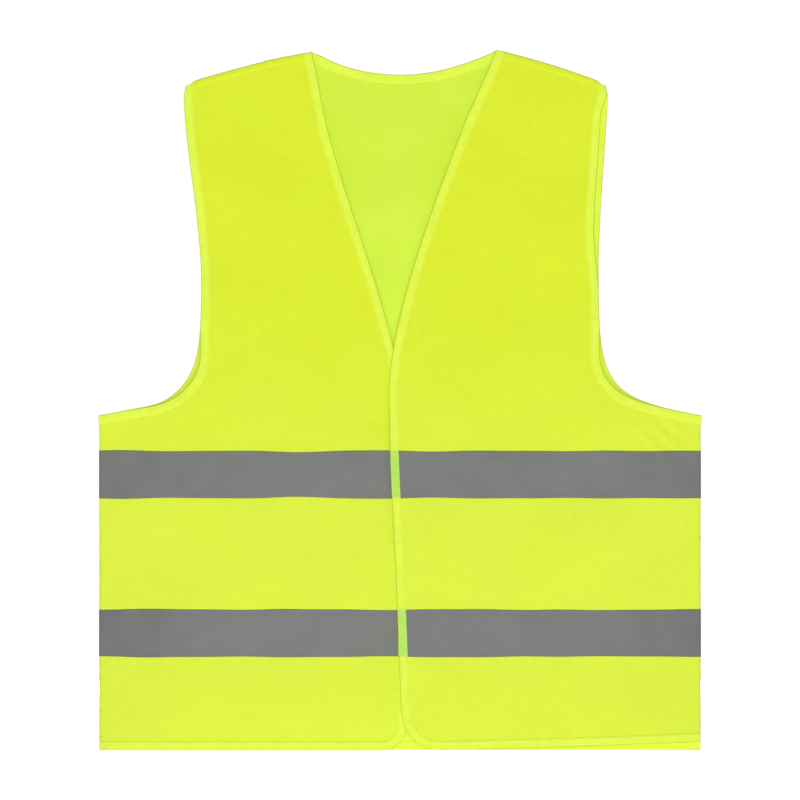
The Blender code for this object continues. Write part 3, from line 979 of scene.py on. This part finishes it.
def binding_material():
    """Woven binding: fine cross ribs, with painted shade in their grooves and on its rounded folded edge.

    Where it passes over a grey tape it looks green.
    """
    made, tree, shader = new_material("visual_binding")
    vector, u, v = pattern(tree)
    height = weighed(tree, stripes(tree, u, WEFT), 0.6, stripes(tree, v, WARP))
    tone = add_node(tree, "ShaderNodeAttribute", attribute_name="tone").outputs["Fac"]
    wear = ramp(tree, noise(tree, vector, 9 * MM, 3.0), 0.3, 0.75)
    base = mix(tree, wear, (0.565, 0.69, 0.046), (0.605, 0.725, 0.063))
    covered = mix(tree, wear, (0.33, 0.58, 0.092), (0.37, 0.61, 0.105))
    leg_end = ramp(tree, v, BINDING_LEG, BINDING_LEG - 0.4 * MM)
    leg = times(tree, ramp(tree, v, -0.2 * MM, 0.5 * MM), leg_end)
    base = mix(tree, times(tree, tone, leg), base, covered)
    # Painted shade: darker in the grooves of the weave.
    groove = times(tree, ramp(tree, height, 0.6, 0.0), 0.16)
    base = mix(tree, groove, base, (0.45, 0.66, 0.02))
    # Painted shade: the rounded folded edge is darkened where it turns away from the light.
    painted_edge_shade = times(tree, ramp(tree, v, 0.35 * MM, -0.25 * MM), 0.75)
    base = mix(tree, painted_edge_shade, base, (0.36, 0.44, 0.02))
    # Three times the glow: painted light that lifts the shade on the binding.
    finish_material(tree, shader, base, height, 0.1 * MM, 0.75, sheen=0.1, painted_glow=3 * PAINTED_GLOW)
    return made


def tape_material():
    """Retroreflective tape: grey, beaded, darker at its cut edges, faintly marked by handling."""
    made, tree, shader = new_material("visual_tape")
    vector, u, v = pattern(tree)
    cells = add_node(tree, "ShaderNodeTexVoronoi", {"Vector": vector, "Scale": 1 / BEAD})
    weave = times(tree, stripes(tree, u, TAPE_WEAVE), stripes(tree, v, TAPE_WEAVE))
    height = weighed(tree, cells.outputs["Distance"], 0.7, weave)
    cloud = noise(tree, vector, 34 * MM, 4.0)
    speckle = noise(tree, vector, 0.7 * MM)
    base = mix(tree, ramp(tree, cloud, 0.25, 0.75), (0.137, 0.142, 0.137), (0.17, 0.176, 0.169))
    base = mix(tree, ramp(tree, speckle, 0.35, 0.75), base, (0.181, 0.187, 0.178))
    width = TAPES["upper"][1] - TAPES["upper"][0]
    from_edge = calc(tree, "MINIMUM", v, calc(tree, "SUBTRACT", width, v))
    base = mix(tree, ramp(tree, from_edge, 0.9 * MM, 0.2 * MM), base, (0.1, 0.115, 0.05))
    seam = calc(tree, "ABSOLUTE", calc(tree, "SUBTRACT", from_edge, TAPE_ROW))
    groove = times(tree, ramp(tree, seam, 0.5 * MM, 0.1 * MM), 0.35)
    base = mix(tree, groove, base, (0.12, 0.13, 0.1))
    rough = plus(tree, times(tree, cloud, 0.14), 0.42)
    finish_material(tree, shader, base, height, 0.05 * MM, rough)
    shader.inputs["Specular IOR Level"].default_value = 0.4
    return made


def grain(tree, colour, darkness, size, detail, contrast):
    """Noise in space, and a colour that it darkens here and there."""
    vector = add_node(tree, "ShaderNodeTexCoord").outputs["Object"]
    found = noise(tree, vector, size, detail)
    darker = tuple(c * darkness for c in colour)
    return found, mix(tree, ramp(tree, found, 0.5 - contrast, 0.5 + contrast), darker, colour)


def thread_material(name, colour):
    made, tree, shader = new_material(name)
    twist, base = grain(tree, colour, 0.8, 0.4 * MM, 2.0, 0.15)
    # The glow here is painted light.
    finish_material(tree, shader, base, twist, 0.05 * MM, 0.6, sheen=0.1, painted_glow=PAINTED_GLOW / 2)
    return made


def fastener_material(name, colour):
    """The ground and the loops or hooks of a touch fastener."""
    made, tree, shader = new_material(name)
    pile, base = grain(tree, colour, 0.75, 0.6 * MM, 3.0, 0.2)
    # The glow here is painted light.
    finish_material(tree, shader, base, pile, 0.08 * MM, 0.7, sheen=0.2, painted_glow=PAINTED_GLOW / 2)
    return made


def label_material():
    """Blank satin ribbon with a fine warp."""
    made, tree, shader = new_material("visual_label")
    vector, u, _ = pattern(tree)
    warp = stripes(tree, u, LABEL_WARP)
    cloud = noise(tree, vector, 12 * MM, 3.0)
    base = mix(tree, ramp(tree, cloud, 0.3, 0.7), (0.78, 0.79, 0.76), (0.86, 0.86, 0.83))
    rough = plus(tree, times(tree, cloud, 0.2), 0.35)
    finish_material(tree, shader, base, warp, 0.03 * MM, rough, sheen=0.1)
    return made


# ---- pieces ----

WRAP_COVER = 5.5 * MM  # the shoulder wrap: how far it comes down on both sides
WRAP_NEAR = FABRIC_LEVEL + FABRIC_THICK / 2 + 0.02 * MM
WRAP_FAR = WRAP_NEAR + 0.28 * MM
WRAP_CROWN = 1.4 * MM  # how high it stands above the shoulder line
WRAP_ROW = 1.5 * MM  # its row of stitches, from its lower edge
WRAP_TUCK = BINDING_LEG - 1.5 * MM  # its ends lie under the bindings
SEAM_THICK = 0.7 * MM  # the allowance inside a side seam: two layers of fabric
SEAM_CURL, SEAM_CURL_PITCH = 0.4 * MM, 17 * MM
OVERLOCK_PITCH = 1.5 * MM
OVERLOCK_WIDTH = 4.5 * MM
OVERLOCK_LEVEL = 0.45 * MM  # from the middle of the allowance
LABEL_THICK = 0.14 * MM
LABEL_CURL, LABEL_CURL_PITCH = 1.2 * MM, 15 * MM
LABEL_ROW_LENGTH = 24 * MM
PATCH_FROM, PATCH_TO = 1.2 * MM, 10.8 * MM  # from the front edge
PATCH_THICK = 0.45 * MM
PATCH_GAP = 0.1 * MM
HOOK_HEIGHT = 0.9 * MM
HOOK_RADIUS = 0.11 * MM
HOOK_PITCH = 1.3 * MM
HOOK_SECTIONS = 6
HOOK_ARC = {"hook": 1.08 * math.pi, "loop": math.pi}  # a hook curls a little past half a turn


def bend(piece, side):
    """Bake a front piece's place into its mesh; the hinge and the inboard direction of its fold are worked
    out but not used.
    """
    hinge = joint(f"{LABELS[side]}_front_open")
    pos, axis = Vector(hinge["pos_m"]), Vector(hinge["axis"])
    inboard = Vector((-side, 0, 0))
    inboard = (inboard - inboard.dot(axis) * axis).normalized()
    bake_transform(piece)


def settle(piece, slot, *nodes, body="back", fold=None):
    """Hide the CAD nodes that a piece replaces, then give it to its body, or for a fold only bake its
    place into its mesh. slot is not used.
    """
    if nodes:
        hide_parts(*nodes)
    if fold is None:
        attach(piece, body)
    else:
        bend(piece, fold)


def front_rim(side):
    """A front's edge and hem, from the apex to the side seam, on the wearer's left half."""
    edge = front_edge(side)
    return joined(edge, front_hem(side, edge[-1][0]))


def make_front_fabric(side, material):
    label = LABELS[side]
    outline = to_side(side, np.concatenate((front_rim(side), armhole(side)[:-1])))
    if side == RIGHT:
        outline = outline[::-1]
    close = np.concatenate((fold_points(side), side_points(side)))
    piece = sheet(f"{label}_front_fabric", outline, FRONT, side, [material], close)
    settle(piece, "hi_vis_fabric", f"{label}_front_panel", f"{label}_side_panel", fold=side)


def make_front_binding(side, material, thread):
    label = LABELS[side]
    path = stations(to_side(side, front_rim(side)), FRONT, side, first=down_shoulder(side))
    profile = binding_profile()
    piece = sweep(f"{label}_front_edge_binding", path, profile, side, material, tapes=True)
    settle(piece, "binding", f"{label}_front_binding", fold=side)
    rows = binding_rows(path, tapes=True)
    seam = thread_object(f"{label}_front_edge_stitching", rows, thread, draped(side))
    settle(seam, "binding", fold=side)


def make_front_tapes(side, material, thread):
    label = LABELS[side]
    for height in TAPES:
        piece = tape(f"{height}_{label}_front_tape", height, FRONT, side, material)
        nodes = (f"{height}_tape_{label}_front", f"{height}_tape_{label}_side")
        settle(piece, "reflective_tape", *nodes, fold=side)
    rows = tape_stitching(FRONT, side)
    seam = thread_object(f"{label}_front_tape_stitching", rows, thread, draped(side, True))
    settle(seam, "reflective_tape", fold=side)


def make_back_fabric(outside, lining):
    half_neck = back_neck()[: NECK_STEPS // 2 + 1]
    half = joined(armhole(), np.array((SHOULDER_TIP, APEX)), half_neck)
    left = np.concatenate((((SIDE, HEM),), half))
    outline = np.concatenate((left, mirrored(left[-2::-1])))
    close = np.concatenate((side_points(LEFT), side_points(RIGHT)))
    piece = sheet("back_fabric", outline, BACK, None, [outside, lining], close)
    settle(piece, "hi_vis_fabric", "back_panel")


def shoulder_normal(side):
    return unit(np.array((side * SHOULDER_SLOPE, 0, 1)))


def neck_path():
    """Along the back neck, over both shoulders to where the fronts' bindings begin."""
    back = stations(back_neck(), BACK, 1, down_shoulder(LEFT), down_shoulder(RIGHT))
    ends = {}
    for side, at in ((LEFT, 0), (RIGHT, -1)):
        facing = np.array((0.0, FRONT, 0.0))
        ends[side] = tuple(part[None] for part in (back[0][at], back[1][at], facing))
    start = turn(ends[LEFT], back, shoulder_normal(LEFT))
    end = turn(back, ends[RIGHT], shoulder_normal(RIGHT))
    return chain(ends[LEFT], start, back, end, ends[RIGHT])


def armhole_path(side):
    """Up the front of the armhole, over the shoulder, down the back and round the side."""
    down = (0, 0, -1)
    inner = -down_shoulder(side)
    front = stations(to_side(side, armhole(side)), FRONT, side, down, inner)
    back = stations(to_side(side, armhole())[::-1], BACK, -side, inner, down)
    over = turn(front, back, shoulder_normal(side))
    round_side = turn(back, front, (side, 0, 0))
    return chain(front, over, back, round_side)


def make_back_bindings(material, thread):
    rows = []
    hem = stations(np.array(((SIDE, HEM), (-SIDE, HEM))), BACK, -1)
    edges = [("back_neck", "back_neck", neck_path()), ("back_hem", "hem", hem)]
    for side, label in LABELS.items():
        edges.append((f"{label}_armhole", f"{label}_armhole", armhole_path(side)))
    for name, node, path in edges:
        closed = name.endswith("armhole")
        piece = sweep(f"{name}_edge_binding", path, binding_profile(), None, material, closed)
        settle(piece, "binding", f"{node}_binding")
        rows += binding_rows(path)
    settle(thread_object("binding_stitching", rows, thread, draped(None)), "binding")


def make_back_tapes(material, thread):
    for height in TAPES:
        piece = tape(f"{height}_back_tape", height, BACK, None, material)
        settle(piece, "reflective_tape", f"{height}_tape_back")
    rows = tape_stitching(BACK, None)
    seam = thread_object("back_tape_stitching", rows, thread, draped(None, True))
    settle(seam, "reflective_tape")


def wrap_profile():
    """(down from the shoulder line, away from the middle plane) round the wrap's section."""
    near, far, cover = WRAP_NEAR, WRAP_FAR, WRAP_COVER
    outer = [(cover, far), (cover / 2, far), (0, far)]
    angles = np.linspace(0.4, math.pi - 0.4, 7)
    crown = [(-WRAP_CROWN * math.sin(a), far * math.cos(a)) for a in angles]
    inner = [(cover, -far), (cover, -near), (0, -near), (-0.6 * MM, 0), (0, near), (cover, near)]
    return np.array(outer + crown + [(0, -far), (cover / 2, -far)] + inner)


def make_shoulder_seam(side, fabric, thread):
    """The back's fabric wraps forward over the shoulder seam and is topstitched to the front."""
    label = LABELS[side]
    x = np.array((APEX[0] + WRAP_TUCK, SHOULDER_TIP[0] - WRAP_TUCK))
    line = stacked(x, APEX[1] - SHOULDER_SLOPE * (x - APEX[0]))
    path = stations(to_side(side, line), BACK, -side)
    piece = sweep(f"{label}_shoulder_wrap", path, wrap_profile(), None, fabric, cloth=True)
    settle(piece, "hi_vis_fabric", f"{label}_shoulder_seam")
    point, inward, outward = path
    middle = point + inward * (WRAP_COVER - WRAP_ROW)
    rows = [stitch_row(middle + way * WRAP_FAR, way) for way in (outward, -outward)]
    seam = thread_object(f"{label}_shoulder_stitching", rows, thread, draped(None))
    settle(seam, "binding")


def make_side_seam(side, fabric, thread):
    """The seam allowance inside the side seam, with overlocked edges."""
    label = LABELS[side]
    low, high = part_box(f"{label}_side_seam")
    free = low.x if side == LEFT else high.x
    columns = np.linspace(side * (SIDE - MM), free, 7)
    x, z = np.meshgrid(columns, np.arange(low.z, high.z, SHEET_STEP))
    share = np.abs(x - side * SIDE) / abs(free - side * SIDE)
    curl = SEAM_CURL * np.sin(z / SEAM_CURL_PITCH) * share**2
    piece = strip(f"{label}_side_allowance", x, curl, z, z, SEAM_THICK, fabric, upright)
    settle(piece, "hi_vis_fabric", f"{label}_side_seam")
    starts = np.arange(low.z, high.z - 2 * OVERLOCK_PITCH, OVERLOCK_PITCH)
    across = np.array((side * OVERLOCK_WIDTH, 0, OVERLOCK_PITCH))
    rows = []
    for facing in (FRONT, BACK):
        levels = SEAM_CURL * np.sin(starts / SEAM_CURL_PITCH) + facing * OVERLOCK_LEVEL
        ends = stacked(free, levels, starts)
        centres = ends[:, None] + STITCH_SHARES[None, :, None] * across
        outward = np.tile((0.0, facing, 0.0), (len(starts), 1))
        rows.append(tubes(centres, outward, STITCH_RADII))
    settle(thread_object(f"{label}_overlock", rows, thread, upright), "binding")


def make_label(material, thread):
    """A blank care label, caught in the side seam and hanging inside."""
    low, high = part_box("care_label")

    def curl(x, z):
        free = np.clip((high.x - x) / (high.x - low.x), 0, 1)
        return LABEL_CURL * free**2 * np.sin((z - low.z) / LABEL_CURL_PITCH)

    x, z = np.meshgrid(np.linspace(low.x, high.x + 2 * MM, 16), np.linspace(low.z, high.z, 20))
    piece = strip("blank_label", x, curl(x, z), z, z, LABEL_THICK, material, upright)
    settle(piece, "label", "care_label")
    rows = []
    at = np.linspace(high.x - LABEL_ROW_LENGTH, high.x, 20)
    facing = np.tile((0.0, -1.0, 0.0), (len(at), 1))
    for edge in (low.z + 2 * MM, high.z - 2 * MM):
        line = stacked(at, curl(at, edge) - 0.08 * MM, edge)
        rows.append(stitch_row(line, facing, 2 * MM, 1.5 * MM))
    settle(thread_object("label_stitching", rows, thread, upright), "label")


def patch_level(across, way):
    """A patch lies on the binding's leg and then steps down onto the fabric."""
    on_leg = BINDING_INNER + BINDING_WALL + PATCH_GAP + PATCH_THICK / 2
    on_fabric = (FABRIC_THICK + PATCH_THICK) / 2 + PATCH_GAP
    step = smooth(across, BINDING_LEG, BINDING_LEG + 1.6 * MM)
    return FABRIC_LEVEL + way * (on_leg + (on_fabric - on_leg) * step)


def fuzz(low, high, side, kind, way, draw):
    """The hooks or loops of a patch, as tubes that rise from it and curl over."""
    across, z = np.meshgrid(
        np.arange(PATCH_FROM + MM, PATCH_TO - MM, HOOK_PITCH),
        np.arange(low + MM, high - MM, HOOK_PITCH),
    )
    across, z = across.ravel(), z.ravel()
    across = across + draw.uniform(-0.3, 0.3, len(across)) * HOOK_PITCH
    level = patch_level(across, way) + way * PATCH_THICK / 2
    root = stacked(side * (front_edge_x(side, z) + across), FRONT * level, z)
    heading = draw.uniform(0, 2 * math.pi, len(root))
    lean = stacked(np.cos(heading), 0, np.sin(heading))
    arc = np.linspace(0, HOOK_ARC[kind], HOOK_SECTIONS)
    spread = (1 - np.cos(arc)) * HOOK_HEIGHT * 0.45
    rise = np.sin(np.minimum(arc, math.pi)) * HOOK_HEIGHT * 0.8 - 0.05 * MM
    up = np.array((0, FRONT * way, 0))
    centres = root[:, None] + lean[:, None] * spread[None, :, None] + up * rise[:, None]
    facing = np.tile((0.3, 0.2, 0.9), (len(root), 1))
    return tubes(centres, facing, np.full(HOOK_SECTIONS, HOOK_RADIUS))


def make_patches(side, kind, material, way):
    """One half of the touch fastener: hooks inside the left front or loops on the right one."""
    body = f"{LABELS[side]}_front"
    draw = np.random.default_rng(41 + side)
    for height in TAPES:
        low, high = heights(f"{height}_{kind}_patch")
        across, z = np.meshgrid(np.linspace(PATCH_FROM, PATCH_TO, 12), np.linspace(low, high, 18))
        x = side * (front_edge_x(side, z) + across)
        level = FRONT * patch_level(across, way)
        name = f"{height}_{kind}_strip"
        piece = strip(name, x, level, z, z, PATCH_THICK, material, clinging(side))
        settle(piece, kind, f"{height}_{kind}_patch", body=body)
        rows = [fuzz(low, high, side, kind, way, draw)]
        piece = thread_object(f"{height}_{kind}s", rows, material, clinging(side))
        settle(piece, kind, body=body)


# ---- stage ----

VIEW_WIDTH = 848 * MM  # what the picture spans at the vest
VIEW_HEIGHT = 371 * MM  # what the camera and the lamps point at
CAMERA_DISTANCE = 24.0
SENSOR_WIDTH = 36
FLOOR_REACH = 12.0
FLOOR_GREY, FLOOR_GLOW = 0.35, 0.95
SURROUNDINGS = 0.21  # the light they give
SEEN_MORE = 0.8  # how much brighter the camera sees them
LAMPS = (
    # name, place, size, watts
    ("front_key", (0.4, -6.0, 0.4), 0.7, 83),
    ("front_fill", (-0.45, -6.0, 0.3), 0.55, 61),
    ("back_key", (-0.4, 6.0, 0.4), 0.7, 83),
    ("back_fill", (0.45, 6.0, 0.3), 0.55, 61),
)


def make_floor():
    """A pale seamless floor that melts into the surroundings."""
    made, tree, shader = new_material("stage_floor")
    inputs = {
        "Base Color": (FLOOR_GREY, FLOOR_GREY, FLOOR_GREY, 1),
        "Roughness": 0.9,
        "Specular IOR Level": 0.0,
        "Emission Color": (1, 1, 1, 1),
        "Emission Strength": FLOOR_GLOW,
    }
    feed(tree, shader, inputs)
    square = np.array([(-1, -1, 0), (1, -1, 0), (1, 1, 0), (-1, 1, 0)])
    corners = square * FLOOR_REACH + (0, 0, CAD_BOX[0].z - MM)
    make_object("floor", corners, [(0, 1, 2, 3)], [made])


def make_world():
    """White surroundings for the camera, a softer white for the light they give."""
    world = bpy.data.worlds.new("studio")
    bpy.context.scene.world = world
    world.use_nodes = True
    tree = world.node_tree
    seen = add_node(tree, "ShaderNodeLightPath").outputs["Is Camera Ray"]
    strength = plus(tree, times(tree, seen, SEEN_MORE), SURROUNDINGS)
    feed(tree, tree.nodes["Background"], {"Color": (1, 1, 1, 1), "Strength": strength})


def make_lights():
    for name, place, size, watts in LAMPS:
        lamp = bpy.data.lights.new(name, "AREA")
        lamp.shape = "DISK"
        lamp.size = size
        lamp.energy = watts
        holder = add_object(name, lamp)
        holder.location = place
        aim = Vector((0, 0, VIEW_HEIGHT)) - holder.location
        holder.rotation_euler = aim.to_track_quat("-Z", "Y").to_euler()


def make_camera():
    camera = bpy.data.cameras.new("camera")
    camera.sensor_width = SENSOR_WIDTH
    camera.lens = camera.sensor_width * CAMERA_DISTANCE / VIEW_WIDTH
    holder = add_object("camera", camera)
    holder.location = (0, -CAMERA_DISTANCE, VIEW_HEIGHT)
    holder.rotation_euler = (math.pi / 2, 0, 0)
    bpy.context.scene.camera = holder


def main():
    fabric = knit_material("visual_fabric", *OUTSIDE_LOOK)
    lining = knit_material("visual_fabric_inside", *SHADED_LINING_LOOK)
    binding = binding_material()
    grey = tape_material()
    thread = thread_material("visual_thread", THREAD_COLOUR)
    grey_thread = thread_material("visual_grey_thread", GREY_THREAD_COLOUR)
    hook = fastener_material("visual_hook", HOOK_COLOUR)
    loop = fastener_material("visual_loop", LOOP_COLOUR)
    make_back_fabric(fabric, lining)
    make_back_bindings(binding, thread)
    make_back_tapes(grey, grey_thread)
    for side in (LEFT, RIGHT):
        make_front_fabric(side, fabric)
        make_front_binding(side, binding, thread)
        make_front_tapes(side, grey, grey_thread)
        make_shoulder_seam(side, fabric, thread)
        make_side_seam(side, fabric, thread)
    make_patches(LEFT, "hook", hook, -1)
    make_patches(RIGHT, "loop", loop, 1)
    make_label(label_material(), thread)
    make_floor()
    make_world()
    make_lights()
    make_camera()
    bpy.context.scene.view_settings.view_transform = "Standard"


main()
